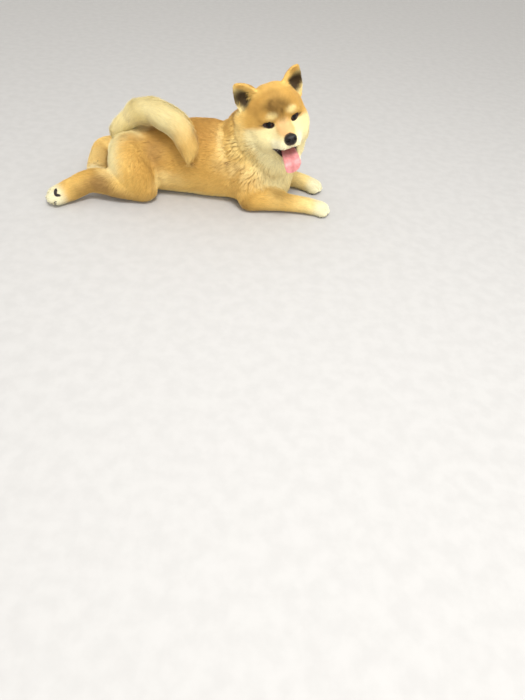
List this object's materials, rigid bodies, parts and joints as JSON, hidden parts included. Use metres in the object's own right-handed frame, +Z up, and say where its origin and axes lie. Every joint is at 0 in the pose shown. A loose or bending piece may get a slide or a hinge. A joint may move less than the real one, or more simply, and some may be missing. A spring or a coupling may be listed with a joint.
{
  "type": "shiba inu puppy",
  "caption": "Life-size still model of a young shiba inu lying on its belly, hind legs stretched back, head turned with its tongue out and its tail curled over its back.",
  "frame": {"origin": "centre of the bounding box, on the floor the puppy lies on", "axes": "+X towards the chest and forepaws along the body, +Y to the puppy's left, +Z up"},
  "size_m": [0.4282, 0.2038, 0.2022],
  "materials": {
    "tan_coat": "soft red-tan puppy coat",
    "cream_coat": "long cream fur",
    "pale_coat": "short pale fur",
    "nose_leather": "moist pebbled leather",
    "eye": "wet, dark brown",
    "tongue": "moist pink"
  },
  "bodies": {
    "root": {"belly": "pale_coat", "chest": "pale_coat", "ear_left": "tan_coat", "ear_right": "tan_coat", "eye_left": "eye", "eye_right": "eye", "foreleg_left": "tan_coat", "foreleg_right": "tan_coat", "forepaw_left": "pale_coat", "forepaw_right": "pale_coat", "head": "tan_coat", "hindpaw_left": "pale_coat", "hindpaw_right": "pale_coat", "hock_left": "tan_coat", "hock_right": "tan_coat", "lower_jaw": "pale_coat", "neck": "cream_coat", "nose": "nose_leather", "rump": "cream_coat", "tail_middle": "cream_coat", "tail_root": "cream_coat", "tail_tip": "cream_coat", "thigh_left": "cream_coat", "thigh_right": "cream_coat", "tongue": "tongue"}
  },
  "joints": []
}
